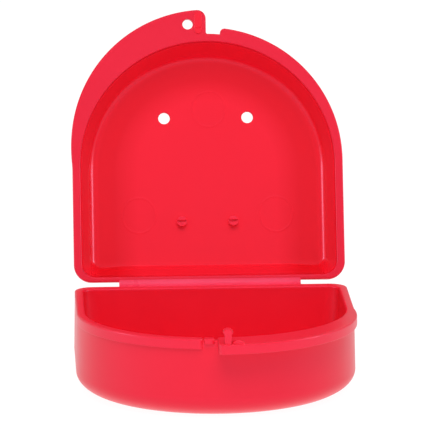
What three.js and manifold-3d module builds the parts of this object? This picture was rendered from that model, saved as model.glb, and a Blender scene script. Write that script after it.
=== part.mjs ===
// A one-piece moulded mouthguard case, standing open: a D-shaped tray, a shallow lid behind it and
// the living hinge between them. Millimetres, +Z up, the front of the case towards -Y.
// The origin is on the surface that the tray stands on.
//
// Both halves are drawn in the same plan: x across the case, and "reach", the distance from the
// hinge axis to the front. In a half's own frame its rim is level and its hollow is below the rim.

import * as THREE from 'three';
import { mergeVertices } from 'three/addons/utils/BufferGeometryUtils.js';
import Module from 'manifold-3d';

const wasm = await Module();
wasm.setup();

// Plan of the hollow at the rim, shared by the tray and the lid.
const HOLLOW_HALF_WIDTH = 39.2;
const SIDE_REACH = 36.8; // where the straight sides end and the front curve starts
const FRONT_CURVE_REACH = 38.5; // from the ends of the sides to the middle of the front
const RIM_WALL = 2.5; // width of the plain rim
const REAR_EDGE_REACH = 1.0; // rear edge of either rim
const REAR_CORNER_RADIUS = 5.5; // of the rims' outer edge
const HOLLOW_CORNER_RADIUS = 4.3; // of the hollows' edge
const LEAST_CORNER_RADIUS = 1.5;

// Tray.
const TRAY_HEIGHT = 24.5; // standing surface to rim
const TRAY_RIM_THICKNESS = 3.0;
const TRAY_REAR_RIM = 3.4;
const TRAY_FLARE = 0.3; // how much wider the tray is low down than at its rim
const TRAY_BOTTOM_ROUND_WIDTH = 11.0;
const TRAY_BOTTOM_ROUND_HEIGHT = 6.5;
const TRAY_WALL = 3.0;
const TRAY_FLOOR = 1.8;
const TRAY_LEFT_FLANGE = 3.4; // widest part of each flange, measured out from the hollow
const TRAY_RIGHT_FLANGE = 10.8;

// Lid.
const LID_RIM_THICKNESS = 2.2;
const LID_REAR_RIM = 1.6;
const LID_WALL = 1.5;
const LID_SHOULDER_DEPTH = 7.4; // rim to the foot of the side wall
const LID_SHOULDER_INSET = 3.3; // how far the side wall leans in on the way
const LID_BEND_REACH = 1.6; // how far the bend at the wall's foot spreads each way
const LID_PANEL_DEPTH = 9.2; // rim to the flat panel
const LID_PANEL_INSET = 14.5;
const LID_REAR_SHOULDER_SHARE = 0.12; // the shoulder's width at the hinge, as a share of elsewhere
const LID_TAB_FLANGE = 10.05;
const LID_RIGHT_FLANGE = 4.5;
const FLANGE_SWELL_POWER = 1.2; // how sharply a flange widens towards the middle
const VENT_RADIUS = 1.8;
const VENT_OFFSET = 12.9;
const VENT_REACH = 52.8;
const STUD_RADIUS = 1.6;
const STUD_HEIGHT = 1.6;
const STUD_OFFSET = 8.0;
const STUD_REACH = 20.4;
const STUD_SLOT_WIDTH = 0.6;
const STUD_SLOT_DEPTH = 0.8;

// Pull tab, at the end of the lid's wide flange.
const TAB_EDGE_X = 0.25;
const TAB_CORNER_RADIUS = 2.8;
const LANYARD_HOLE_RADIUS = 1.6;
const LANYARD_HOLE_X = -5.4;
const LANYARD_HOLE_INSET = 4.2; // hole's centre to the tab's outer edge
const PAD_WIDTH = 2.55;
const PAD_EDGE_GAP = 1.1; // pad to the tab's end
const PAD_MARGIN = 0.6; // pad to the tab's outer edge
const PAD_POCKET_DEPTH = 0.5;
const LID_NOTCH_WIDTH = 4.3;
const LID_NOTCH_CORNER = 1.6;

// Latch on the tray.
const TRAY_NOTCH_WIDTH = 4.35;
const TRAY_NOTCH_OFFSET = 2.125; // lanyard hole's centre to the notch's centre
const TRAY_FLANGE_CORNER = 0.8;
const TOOTH_WIDTH = 3.1;
const TOOTH_OFFSET = 0.325; // how far the tooth stands left of the notch's centre
const TOOTH_HEIGHT = 1.6;
const TOOTH_PROUD = 0.8; // how far the tooth stands out from the plain rim
const BRIDGE_DROP = 0.6; // how far the rim is cut down on each side of the tooth
const POST_NECK_HALF_WIDTH = 1.05;
const POST_FOOT_HALF_WIDTH = 0.9;
const POST_DEPTH = 3.2;
const POST_HEAD_OVERLAP = 0.15; // how far the head reaches over the tab's end
const POST_HEAD_HEIGHT = 1.6;
const POST_HEAD_SHOULDER = 0.4; // height of the head's sloping underside
const POST_FRONT_MARGIN = 0.5; // post and stop to the flange's outer edge
const STOP_WIDTH = 3.7;
const STOP_HEIGHT = 1.0;
const STOP_DEPTH = 2.4;

// Hinge.
const OPENING_ANGLE = 107.9; // from closed, in degrees
const FILM_HALF_LENGTH = 27.9;
const FILM_RADIUS = 0.3;
const LEAF_LIP_THICKNESS = 0.8;

// Clearances.
const RIM_GAP = 0.3; // between the two rims when the case is shut
const SEAM = 0.3; // between two nodes of the turned lid
const LATCH_CLEARANCE = 0.3;
const FILM_CLEARANCE = 0.15;
const PAD_CLEARANCE = 0.05; // grip pad to the tray's flange when the case is shut
const END_CLEARANCE = 0.05; // least distance between an end and the next point of a curve

// Fineness of curves.
const CORNER_STEPS = 5;
const FRONT_STEPS = 40;
const ROUND_STEPS = 5;
const HOLE_STEPS = 24;

const RIM_LEVEL = -RIM_GAP / 2; // in a half's own frame, where the hinge axis is at zero
const AXIS_HEIGHT = TRAY_HEIGHT - RIM_LEVEL;
const HOLLOW_FRONT_REACH = SIDE_REACH + FRONT_CURVE_REACH;
const HINGE_Y = (HOLLOW_FRONT_REACH + RIM_WALL) / 2;
const TRAY_SIDE = -1; // sign of y at the front of the half in its own frame
const LID_SIDE = 1;

// ---------------------------------------------------------------- plan curves

/** The D-shaped plan, moved outwards by `grow`, as [x, reach] pairs from the rear right corner. */
function plan(grow, rearReach) {
  const half = HOLLOW_HALF_WIDTH + grow;
  const spread = (REAR_CORNER_RADIUS - HOLLOW_CORNER_RADIUS) / RIM_WALL;
  const corner = Math.max(HOLLOW_CORNER_RADIUS + spread * grow, LEAST_CORNER_RADIUS);
  const points = [];
  for (let step = 0; step <= CORNER_STEPS; step += 1) {
    const turn = (step / CORNER_STEPS) * (Math.PI / 2);
    points.push([
      half - corner + corner * Math.sin(turn),
      rearReach + corner - corner * Math.cos(turn),
    ]);
  }
  for (let step = 0; step <= FRONT_STEPS; step += 1) {
    const turn = (step / FRONT_STEPS) * Math.PI;
    points.push([
      half * Math.cos(turn),
      SIDE_REACH + (FRONT_CURVE_REACH + grow) * Math.sin(turn),
    ]);
  }
  for (let step = CORNER_STEPS; step >= 0; step -= 1) {
    const turn = (step / CORNER_STEPS) * (Math.PI / 2);
    points.push([
      -half + corner - corner * Math.sin(turn),
      rearReach + corner - corner * Math.cos(turn),
    ]);
  }
  return points;
}

/** A flange's width at an angle round the front curve: plain at the side, widest in the middle. */
function flangeWidth(turn, widest) {
  return RIM_WALL + (widest - RIM_WALL) * Math.sin(turn) ** FLANGE_SWELL_POWER;
}

/** A point of a flange's outer edge, at an angle round the front curve from the right-hand side. */
function flangeEdge(turn, widest) {
  const across = Math.cos(turn) / HOLLOW_HALF_WIDTH;
  const ahead = Math.sin(turn) / FRONT_CURVE_REACH;
  const scale = flangeWidth(turn, widest) / Math.hypot(across, ahead);
  return [
    HOLLOW_HALF_WIDTH * Math.cos(turn) + across * scale,
    SIDE_REACH + FRONT_CURVE_REACH * Math.sin(turn) + ahead * scale,
  ];
}

/** The angle at which a flange's outer edge crosses a given x. */
function angleAtX(x, widest) {
  let low = 0;
  let high = Math.PI;
  for (let round = 0; round < 40; round += 1) {
    const middle = (low + high) / 2;
    if (flangeEdge(middle, widest)[0] > x) {
      low = middle;
    } else {
      high = middle;
    }
  }
  return low;
}

/** How far a flange's outer edge reaches at a given x. */
function flangeReach(x, widest) {
  return flangeEdge(angleAtX(x, widest), widest)[1];
}

/** How far the hollow's edge, moved outwards by `grow`, reaches at a given x. */
function hollowReach(x, grow) {
  const share = x / (HOLLOW_HALF_WIDTH + grow);
  return SIDE_REACH + (FRONT_CURVE_REACH + grow) * Math.sqrt(1 - share * share);
}

/** Replaces a sharp corner of a path by a smooth bend that starts `radius` before it. */
function soften(path, corner, radius) {
  const at = path.indexOf(corner);
  const distance = (point) => Math.hypot(point[0] - corner[0], point[1] - corner[1]);
  const head = path.slice(0, at).filter((point) => distance(point) > radius);
  const tail = path.slice(at + 1).filter((point) => distance(point) > radius);
  const towards = (point) => {
    const share = radius / distance(point);
    return new THREE.Vector2(...corner).lerp(new THREE.Vector2(...point), share);
  };
  const bend = new THREE.QuadraticBezierCurve(
    towards(head.at(-1)),
    new THREE.Vector2(...corner),
    towards(tail[0]),
  );
  return [...head, ...bend.getPoints(ROUND_STEPS).map(({ x, y }) => [x, y]), ...tail];
}

/** The strip of rim between two x values at the front, as wide as the plain rim plus `proud`. */
function stripPlan(fromX, toX, proud) {
  const xs = [];
  for (let step = 0; step <= ROUND_STEPS; step += 1) {
    xs.push(fromX + (toX - fromX) * (step / ROUND_STEPS));
  }
  const outer = xs.map((x) => [x, hollowReach(x, RIM_WALL + proud)]);
  const inner = xs.map((x) => [x, hollowReach(x, 0)]);
  return [...outer, ...inner.reverse()];
}

/**
 * Plan of one side of a rim, from the hinge leaf's end round to the front. The flange ends at
 * `flangeX` and the plain rim goes on to `endX`. `hand` is -1 on the left and 1 on the right.
 */
function flangePlan({ hand, widest, flangeX, endX, rearRim, endCorner }) {
  const corners = plan(RIM_WALL, REAR_EDGE_REACH);
  const rightCorner = corners.slice(0, CORNER_STEPS + 1);
  const leftCorner = corners.slice(-CORNER_STEPS - 1).reverse();
  const rear = hand > 0 ? rightCorner : leftCorner;
  const outer = [[hand * FILM_HALF_LENGTH, REAR_EDGE_REACH], ...rear.slice(0, -1)];
  const startAngle = hand > 0 ? 0 : Math.PI;
  const stopAngle = angleAtX(flangeX, widest);
  outer.push([hand * (HOLLOW_HALF_WIDTH + RIM_WALL), rear.at(-1)[1]]);
  for (let step = 0; step < FRONT_STEPS; step += 1) {
    const turn = startAngle + (stopAngle - startAngle) * (step / FRONT_STEPS);
    outer.push(flangeEdge(turn, widest));
  }
  const corner = [flangeX, flangeReach(flangeX, widest)];
  const plainEnds = flangeX === endX ? [] : [flangeX, endX];
  const plain = plainEnds.map((x) => [x, hollowReach(x, RIM_WALL)]);
  const whole = plan(0, REAR_EDGE_REACH + rearRim);
  const ordered = hand > 0 ? whole : whole.slice().reverse();
  const inner = ordered.filter((point) => (point[0] - endX) * hand > END_CLEARANCE).reverse();
  const innerEnd = [endX, hollowReach(endX, 0)];
  const innerStart = [hand * FILM_HALF_LENGTH, REAR_EDGE_REACH + rearRim];
  return soften([...outer, corner, ...plain, innerEnd, ...inner, innerStart], corner, endCorner);
}

/** A slot-shaped path with round ends, lying along the reach direction. */
function slotPlan(x, fromReach, toReach, halfWidth) {
  const path = [];
  for (let step = 0; step <= 2 * ROUND_STEPS; step += 1) {
    const turn = (step / (2 * ROUND_STEPS)) * Math.PI;
    path.push([x + halfWidth * Math.cos(turn), toReach - halfWidth + halfWidth * Math.sin(turn)]);
  }
  for (let step = 0; step <= 2 * ROUND_STEPS; step += 1) {
    const turn = (step / (2 * ROUND_STEPS)) * Math.PI;
    path.push([x - halfWidth * Math.cos(turn), fromReach + halfWidth - halfWidth * Math.sin(turn)]);
  }
  return path;
}

// ---------------------------------------------------------------- solids

/** A closed path in plan as a three.js shape, turned the right way for the half it is on. */
function planShape(path, side) {
  const points = path.map(([x, reach]) => new THREE.Vector2(x, side * reach));
  return new THREE.Shape(points);
}

/** A plate between two levels of a half's frame. */
function plate(path, side, top, thickness) {
  const geometry = new THREE.ExtrudeGeometry(planShape(path, side), {
    depth: thickness,
    bevelEnabled: false,
  });
  return geometry.translate(0, 0, top - thickness);
}

/** Walls through a stack of plans at their levels, closed by a flat fan at each end. */
function loft(levels, side) {
  const rings = levels.map(({ path, level }) => {
    const points = path.map(([x, reach]) => new THREE.Vector3(x, side * reach, level));
    return side < 0 ? points.reverse() : points;
  });
  const count = rings[0].length;
  const points = rings.flat();
  const middle = (ring) => new THREE.Vector3(0, side * SIDE_REACH, ring[0].z);
  const foot = points.push(middle(rings[0])) - 1;
  const crown = points.push(middle(rings.at(-1))) - 1;
  const index = [];
  for (let ring = 0; ring + 1 < rings.length; ring += 1) {
    for (let step = 0; step < count; step += 1) {
      const here = ring * count + step;
      const next = ring * count + ((step + 1) % count);
      index.push(here, next, next + count);
      index.push(here, next + count, here + count);
    }
  }
  const last = (rings.length - 1) * count;
  for (let step = 0; step < count; step += 1) {
    const next = (step + 1) % count;
    index.push(foot, next, step);
    index.push(crown, last + step, last + next);
  }
  const geometry = new THREE.BufferGeometry().setFromPoints(points);
  geometry.setIndex(index);
  return geometry;
}

/** A three.js geometry as a solid that can be joined and cut. */
function solid(geometry) {
  const bare = geometry.clone();
  bare.deleteAttribute('normal');
  bare.deleteAttribute('uv');
  const merged = mergeVertices(bare, 1e-4);
  return new wasm.Manifold(new wasm.Mesh({
    numProp: 3,
    vertProperties: new Float32Array(merged.attributes.position.array),
    triVerts: new Uint32Array(merged.index.array),
  }));
}

/** A joined or cut solid as a three.js geometry. */
function geometryOf(body) {
  const mesh = body.getMesh();
  const geometry = new THREE.BufferGeometry();
  geometry.setAttribute('position', new THREE.BufferAttribute(mesh.vertProperties, 3));
  geometry.setIndex(new THREE.BufferAttribute(mesh.triVerts, 1));
  return geometry;
}

/** A box given by its two opposite corners. */
function box(low, high) {
  const size = new THREE.Vector3().subVectors(high, low);
  const centre = new THREE.Vector3().addVectors(high, low).multiplyScalar(0.5);
  return new THREE.BoxGeometry(size.x, size.y, size.z).translate(centre.x, centre.y, centre.z);
}

/** An upright cylinder in a half's frame, long enough to cut right through it. */
function drill(x, reach, side, radius) {
  const length = 2 * (LID_PANEL_DEPTH + LID_WALL) + TRAY_RIM_THICKNESS;
  return new THREE.CylinderGeometry(radius, radius, length, HOLE_STEPS)
    .rotateX(Math.PI / 2)
    .translate(x, side * reach, 0);
}

/** A front view, in x and height above the rim, pushed back into the case from `front`. */
function upright(shape, x, frontReach, depth) {
  return new THREE.ExtrudeGeometry(shape, { depth, bevelEnabled: false, curveSegments: 2 * ROUND_STEPS })
    .rotateX(Math.PI / 2)
    .translate(x, depth + TRAY_SIDE * frontReach, RIM_LEVEL);
}

// ---------------------------------------------------------------- materials

const redPlastic = new THREE.MeshStandardMaterial({ color: 0xe32438, roughness: 0.42, metalness: 0 });
const thinPlastic = new THREE.MeshStandardMaterial({ color: 0xf0506a, roughness: 0.35, metalness: 0 });

/** A named piece of the case. */
function piece(name, geometry, material = redPlastic) {
  geometry.computeVertexNormals();
  const mesh = new THREE.Mesh(geometry, material);
  mesh.name = name;
  return mesh;
}

// ---------------------------------------------------------------- tray

/** The tray below its rim: a wall with a broad rounded foot, open at the top. */
function trayBody() {
  const top = RIM_LEVEL - TRAY_RIM_THICKNESS;
  const bottom = RIM_LEVEL - TRAY_HEIGHT;
  const levels = [];
  for (let step = 0; step <= ROUND_STEPS; step += 1) {
    const turn = (step / ROUND_STEPS) * (Math.PI / 2);
    const inset = TRAY_BOTTOM_ROUND_WIDTH * (1 - Math.sin(turn));
    const grow = RIM_WALL + TRAY_FLARE - inset;
    levels.push({
      path: plan(grow, REAR_EDGE_REACH + inset),
      level: bottom + TRAY_BOTTOM_ROUND_HEIGHT * (1 - Math.cos(turn)),
    });
  }
  levels.push({ path: plan(RIM_WALL, REAR_EDGE_REACH), level: top });
  levels.push({ path: plan(0, REAR_EDGE_REACH + TRAY_REAR_RIM), level: top });
  for (let step = ROUND_STEPS; step >= 0; step -= 1) {
    const turn = (step / ROUND_STEPS) * (Math.PI / 2);
    const inset = TRAY_WALL + (TRAY_BOTTOM_ROUND_WIDTH - TRAY_WALL) * (1 - Math.sin(turn));
    const grow = RIM_WALL + TRAY_FLARE - inset;
    levels.push({
      path: plan(grow, REAR_EDGE_REACH + TRAY_REAR_RIM - RIM_WALL + inset),
      level: bottom + TRAY_FLOOR + (TRAY_BOTTOM_ROUND_HEIGHT - TRAY_FLOOR / 2) * (1 - Math.cos(turn)),
    });
  }
  return loft(levels, TRAY_SIDE);
}

const trayNotchLeft = LANYARD_HOLE_X + TRAY_NOTCH_OFFSET - TRAY_NOTCH_WIDTH / 2;
const trayNotchRight = trayNotchLeft + TRAY_NOTCH_WIDTH;

function trayLeftFlange() {
  const path = flangePlan({
    hand: -1,
    widest: TRAY_LEFT_FLANGE,
    flangeX: trayNotchLeft,
    endX: trayNotchLeft,
    rearRim: TRAY_REAR_RIM,
    endCorner: TRAY_FLANGE_CORNER / 2,
  });
  return plate(path, TRAY_SIDE, RIM_LEVEL, TRAY_RIM_THICKNESS);
}

function trayRightFlange() {
  const path = flangePlan({
    hand: 1,
    widest: TRAY_RIGHT_FLANGE,
    flangeX: trayNotchRight,
    endX: trayNotchRight,
    rearRim: TRAY_REAR_RIM,
    endCorner: TRAY_FLANGE_CORNER,
  });
  return plate(path, TRAY_SIDE, RIM_LEVEL, TRAY_RIM_THICKNESS);
}

/** The rim between the tray's two flanges, cut down on each side of a catch tooth. */
function trayTooth() {
  const middle = (trayNotchLeft + trayNotchRight) / 2 - TOOTH_OFFSET;
  const bridge = plate(
    stripPlan(trayNotchLeft, trayNotchRight, 0),
    TRAY_SIDE,
    RIM_LEVEL - BRIDGE_DROP,
    TRAY_RIM_THICKNESS - BRIDGE_DROP,
  );
  const tooth = plate(
    stripPlan(middle - TOOTH_WIDTH / 2, middle + TOOTH_WIDTH / 2, TOOTH_PROUD),
    TRAY_SIDE,
    RIM_LEVEL,
    TOOTH_HEIGHT,
  );
  return geometryOf(solid(bridge).add(solid(tooth)));
}

const postX = TAB_EDGE_X + LATCH_CLEARANCE + POST_NECK_HALF_WIDTH;
const postNeckHeight = RIM_GAP + LID_RIM_THICKNESS + LATCH_CLEARANCE;

/** The springy latch post: a narrow neck and a round head that reaches over the tab's end. */
function latchPost() {
  const headHalfWidth = POST_NECK_HALF_WIDTH + LATCH_CLEARANCE + POST_HEAD_OVERLAP;
  const widest = postNeckHeight + POST_HEAD_SHOULDER;
  const shape = new THREE.Shape();
  shape.moveTo(POST_FOOT_HALF_WIDTH, 0);
  shape.lineTo(POST_NECK_HALF_WIDTH, postNeckHeight);
  shape.lineTo(headHalfWidth, widest);
  shape.absellipse(0, widest, headHalfWidth, POST_HEAD_HEIGHT - POST_HEAD_SHOULDER, 0, Math.PI);
  shape.lineTo(-POST_NECK_HALF_WIDTH, postNeckHeight);
  shape.lineTo(-POST_FOOT_HALF_WIDTH, 0);
  const front = flangeReach(postX, TRAY_RIGHT_FLANGE) - POST_FRONT_MARGIN;
  return upright(shape, postX, front, POST_DEPTH);
}

/** The low round stop that keeps the post from being bent too far. */
function latchStop() {
  const x = postX + POST_NECK_HALF_WIDTH + LATCH_CLEARANCE + STOP_WIDTH / 2;
  const shape = new THREE.Shape();
  shape.moveTo(STOP_WIDTH / 2, 0);
  shape.absellipse(0, 0, STOP_WIDTH / 2, STOP_HEIGHT, 0, Math.PI);
  const front = flangeReach(x + STOP_WIDTH / 2, TRAY_RIGHT_FLANGE) - POST_FRONT_MARGIN;
  return upright(shape, x, front, STOP_DEPTH);
}

// ---------------------------------------------------------------- hinge

/** The rear of a rim, with a thin lip that reaches towards the hinge axis. */
function hingeLeaf(side, rearRim, thickness) {
  const half = FILM_HALF_LENGTH;
  const lipReach = FILM_RADIUS + FILM_CLEARANCE;
  const low = RIM_LEVEL - thickness;
  const front = REAR_EDGE_REACH + rearRim;
  const leafPlan = [
    [-half, REAR_EDGE_REACH],
    [half, REAR_EDGE_REACH],
    [half, front],
    [-half, front],
  ];
  const leaf = plate(leafPlan, side, RIM_LEVEL, thickness);
  const lipEnds = [side * lipReach, side * (REAR_EDGE_REACH + SEAM)];
  const lip = box(
    new THREE.Vector3(-half, Math.min(...lipEnds), Math.max(low, RIM_LEVEL - LEAF_LIP_THICKNESS)),
    new THREE.Vector3(half, Math.max(...lipEnds), RIM_LEVEL),
  );
  return geometryOf(solid(leaf).add(solid(lip)));
}

/** The thin flexing line of the living hinge, on the hinge axis. */
function hingeFilm() {
  return new THREE.CylinderGeometry(FILM_RADIUS, FILM_RADIUS, 2 * FILM_HALF_LENGTH, HOLE_STEPS / 2)
    .rotateZ(Math.PI / 2);
}

// ---------------------------------------------------------------- lid

/** The lid's hollow as rows of inset from the rim's inner edge, inset at the rear, and depth. */
function lidHollow() {
  const foot = new THREE.Vector2(LID_SHOULDER_INSET, LID_SHOULDER_DEPTH);
  const panelEdge = new THREE.Vector2(LID_PANEL_INSET, LID_PANEL_DEPTH);
  const slope = new THREE.QuadraticBezierCurve(
    foot,
    new THREE.Vector2((foot.x + panelEdge.x) / 2, panelEdge.y),
    panelEdge,
  );
  const bendStart = foot.clone().setLength(foot.length() - LID_BEND_REACH);
  const bendShare = LID_BEND_REACH / slope.getLength();
  const bend = new THREE.QuadraticBezierCurve(bendStart, foot, slope.getPointAt(bendShare));
  const section = [bendStart.clone().multiplyScalar(1 / 2), ...bend.getPoints(ROUND_STEPS)];
  for (let step = 1; step <= ROUND_STEPS; step += 1) {
    section.push(slope.getPointAt(bendShare + (1 - bendShare) * (step / ROUND_STEPS)));
  }
  return section.map(({ x, y }) => {
    const wallInset = Math.min(x, LID_SHOULDER_INSET);
    return { inset: x, rearInset: wallInset + (x - wallInset) * LID_REAR_SHOULDER_SHARE, depth: y };
  });
}

/** The lid below its rim: a leaning wall, a soft shoulder and a flat panel with two vents. */
function lidBody() {
  const rearReach = REAR_EDGE_REACH + LID_REAR_RIM;
  const top = RIM_LEVEL - LID_RIM_THICKNESS - SEAM;
  const hollow = lidHollow();
  const deepening = (LID_PANEL_DEPTH + LID_WALL) / LID_PANEL_DEPTH;
  const outer = hollow.map(({ inset, rearInset, depth }) => ({
    path: plan(LID_WALL - inset, rearReach + rearInset - LID_WALL),
    level: RIM_LEVEL - depth * deepening,
  }));
  const inner = hollow.map(({ inset, rearInset, depth }) => ({
    path: plan(-inset, rearReach + rearInset),
    level: RIM_LEVEL - depth,
  }));
  const topInset = LID_SHOULDER_INSET * ((LID_RIM_THICKNESS + SEAM) / LID_SHOULDER_DEPTH);
  const levels = [
    ...outer.reverse(),
    { path: plan(LID_WALL - topInset, rearReach + topInset - LID_WALL), level: top },
    { path: plan(-topInset, rearReach + topInset), level: top },
    ...inner,
  ];
  let body = solid(loft(levels, LID_SIDE));
  for (const hand of [-1, 1]) {
    body = body.subtract(solid(drill(hand * VENT_OFFSET, VENT_REACH, LID_SIDE, VENT_RADIUS)));
  }
  return geometryOf(body);
}

const padX = TAB_EDGE_X - PAD_EDGE_GAP - PAD_WIDTH / 2;
const padFrom = hollowReach(padX, RIM_WALL);
const padTo = flangeReach(padX, LID_TAB_FLANGE) - PAD_MARGIN;

/** The lid's wide flange with the pull tab, its lanyard hole and the pad's pocket. */
function lidTabFlange() {
  const path = flangePlan({
    hand: -1,
    widest: LID_TAB_FLANGE,
    flangeX: TAB_EDGE_X,
    endX: TAB_EDGE_X,
    rearRim: LID_REAR_RIM,
    endCorner: TAB_CORNER_RADIUS,
  });
  const flange = solid(plate(path, LID_SIDE, RIM_LEVEL, LID_RIM_THICKNESS));
  const holeReach = flangeReach(LANYARD_HOLE_X, LID_TAB_FLANGE) - LANYARD_HOLE_INSET;
  const hole = solid(drill(LANYARD_HOLE_X, holeReach, LID_SIDE, LANYARD_HOLE_RADIUS));
  const pocketPlan = slotPlan(padX, padFrom - SEAM, padTo + SEAM, PAD_WIDTH / 2 + SEAM);
  const pocket = solid(plate(pocketPlan, LID_SIDE, RIM_LEVEL + SEAM, PAD_POCKET_DEPTH + SEAM));
  return geometryOf(flange.subtract(hole).subtract(pocket));
}

/** The raised grip pad at the end of the tab. */
function tabPad() {
  const proud = RIM_GAP - PAD_CLEARANCE;
  const path = slotPlan(padX, padFrom, padTo, PAD_WIDTH / 2);
  return plate(path, LID_SIDE, RIM_LEVEL + proud, proud + PAD_POCKET_DEPTH - SEAM);
}

/** The lid's narrow flange, and the plain rim that closes the notch beside the tab. */
function lidRightFlange() {
  const path = flangePlan({
    hand: 1,
    widest: LID_RIGHT_FLANGE,
    flangeX: TAB_EDGE_X + LID_NOTCH_WIDTH,
    endX: TAB_EDGE_X,
    rearRim: LID_REAR_RIM,
    endCorner: LID_NOTCH_CORNER,
  });
  return plate(path, LID_SIDE, RIM_LEVEL, LID_RIM_THICKNESS);
}

/** A short round stud with a slot across its end. */
function lidStud(hand) {
  const floor = RIM_LEVEL - LID_PANEL_DEPTH + SEAM;
  const x = hand * STUD_OFFSET;
  const y = LID_SIDE * STUD_REACH;
  const stud = new THREE.CylinderGeometry(STUD_RADIUS, STUD_RADIUS, STUD_HEIGHT, HOLE_STEPS)
    .rotateX(Math.PI / 2)
    .translate(x, y, floor + STUD_HEIGHT / 2);
  const top = floor + STUD_HEIGHT;
  const slot = box(
    new THREE.Vector3(x - 2 * STUD_RADIUS, y - STUD_SLOT_WIDTH / 2, top - STUD_SLOT_DEPTH),
    new THREE.Vector3(x + 2 * STUD_RADIUS, y + STUD_SLOT_WIDTH / 2, top + STUD_SLOT_DEPTH),
  );
  return geometryOf(solid(stud).subtract(solid(slot)));
}

// ---------------------------------------------------------------- case

const tray = new THREE.Group();
tray.position.set(0, HINGE_Y, AXIS_HEIGHT);
tray.add(
  piece('tray_body', trayBody()),
  piece('tray_flange_left', trayLeftFlange()),
  piece('tray_flange_right', trayRightFlange()),
  piece('tray_catch_tooth', trayTooth()),
  piece('tray_hinge_leaf', hingeLeaf(TRAY_SIDE, TRAY_REAR_RIM, TRAY_RIM_THICKNESS)),
  piece('latch_post', latchPost()),
  piece('latch_stop', latchStop()),
  piece('hinge_film', hingeFilm(), thinPlastic),
);

const lid = new THREE.Group();
lid.position.set(0, HINGE_Y, AXIS_HEIGHT);
lid.rotation.x = THREE.MathUtils.degToRad(180 - OPENING_ANGLE);
lid.add(
  piece('lid_body', lidBody()),
  piece('lid_flange_tab', lidTabFlange()),
  piece('lid_flange_right', lidRightFlange()),
  piece('lid_hinge_leaf', hingeLeaf(LID_SIDE, LID_REAR_RIM, LID_RIM_THICKNESS)),
  piece('tab_grip_pad', tabPad()),
  piece('lid_stud_left', lidStud(-1)),
  piece('lid_stud_right', lidStud(1)),
);

const mouthguardCase = new THREE.Group();
mouthguardCase.add(tray, lid);

export default mouthguardCase;
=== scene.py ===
"""A one-piece moulded mouthguard case, standing open: a D-shaped tray, the shallow lid that leans
back behind it and the living hinge between them.

Both halves are drawn in the same plan, in millimetres: x across the case, "reach" from the hinge
axis to the front, and a level that is zero on the hinge axis. In a half's own plan its rim is level
and its hollow is below the rim.
"""

import logging
import math
from dataclasses import dataclass
from enum import Enum
from typing import Callable, Sequence

import bmesh
import bpy
import numpy as np
from mathutils import Matrix, Vector
from mathutils.geometry import delaunay_2d_cdt

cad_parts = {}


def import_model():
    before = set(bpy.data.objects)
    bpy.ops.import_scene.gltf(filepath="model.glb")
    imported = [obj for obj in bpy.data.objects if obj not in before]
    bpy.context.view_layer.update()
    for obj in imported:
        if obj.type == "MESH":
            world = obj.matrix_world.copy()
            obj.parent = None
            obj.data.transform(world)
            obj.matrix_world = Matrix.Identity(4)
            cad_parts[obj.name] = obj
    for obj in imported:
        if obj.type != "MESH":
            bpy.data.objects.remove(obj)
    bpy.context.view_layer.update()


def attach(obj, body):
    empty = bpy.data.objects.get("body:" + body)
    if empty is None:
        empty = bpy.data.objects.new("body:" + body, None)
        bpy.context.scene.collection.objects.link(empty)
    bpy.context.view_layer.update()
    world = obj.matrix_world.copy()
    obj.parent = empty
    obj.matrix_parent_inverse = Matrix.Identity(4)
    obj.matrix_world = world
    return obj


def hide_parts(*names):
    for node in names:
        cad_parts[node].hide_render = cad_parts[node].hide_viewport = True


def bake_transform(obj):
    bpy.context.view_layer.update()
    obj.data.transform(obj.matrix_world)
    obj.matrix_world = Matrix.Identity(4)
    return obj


LOG = logging.getLogger("mouthguard case")
MM = 0.001
BEZIER_CIRCLE = 0.5523  # handle length that turns a cubic curve into a quarter circle
SHARP_ANGLE = math.radians(55)
LEAST_CORNER = 1.5  # smallest radius of a plan's rear corners, in millimetres
SEAM = 0.015  # between a shell's hollow and the rim round it, in millimetres
Placer = Callable[[np.ndarray], np.ndarray]


# ---------------------------------------------------------------- where the halves stand


@dataclass(frozen=True)
class HalfFrame:
    """The place of one half of the case: its plan is turned about the hinge axis."""

    body: str
    side: int
    turn_deg: float
    axis_y: float = 38.9
    axis_height: float = 24.65

    def place(self, points: np.ndarray) -> np.ndarray:
        """Carries plan points to the standing case.

        Args:
            points: rows of x, reach and level, in millimetres.

        Returns:
            Rows of x, y and z in metres.
        """
        turn = math.radians(self.turn_deg)
        x, reach, level = points.T
        ahead = self.side * reach
        y = self.axis_y + ahead * math.cos(turn) - level * math.sin(turn)
        z = self.axis_height + ahead * math.sin(turn) + level * math.cos(turn)
        return np.column_stack([x, y, z]) * MM

    def upright(self, front_reach: float) -> Placer:
        """A placer for pieces drawn in front view: x, height above the rim, distance forwards."""

        def place(points: np.ndarray) -> np.ndarray:
            """Carries front-view points to the standing case."""
            x, height, forwards = points.T
            return self.place(np.column_stack([x, front_reach + forwards, RIM_LEVEL + height]))

        return place


OPENING_DEG = 107.9
RIM_LEVEL = -0.15
TRAY = HalfFrame(body="tray", side=-1, turn_deg=0.0)
LID = HalfFrame(body="lid", side=1, turn_deg=180.0 - OPENING_DEG)


# ---------------------------------------------------------------- plan curves


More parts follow.
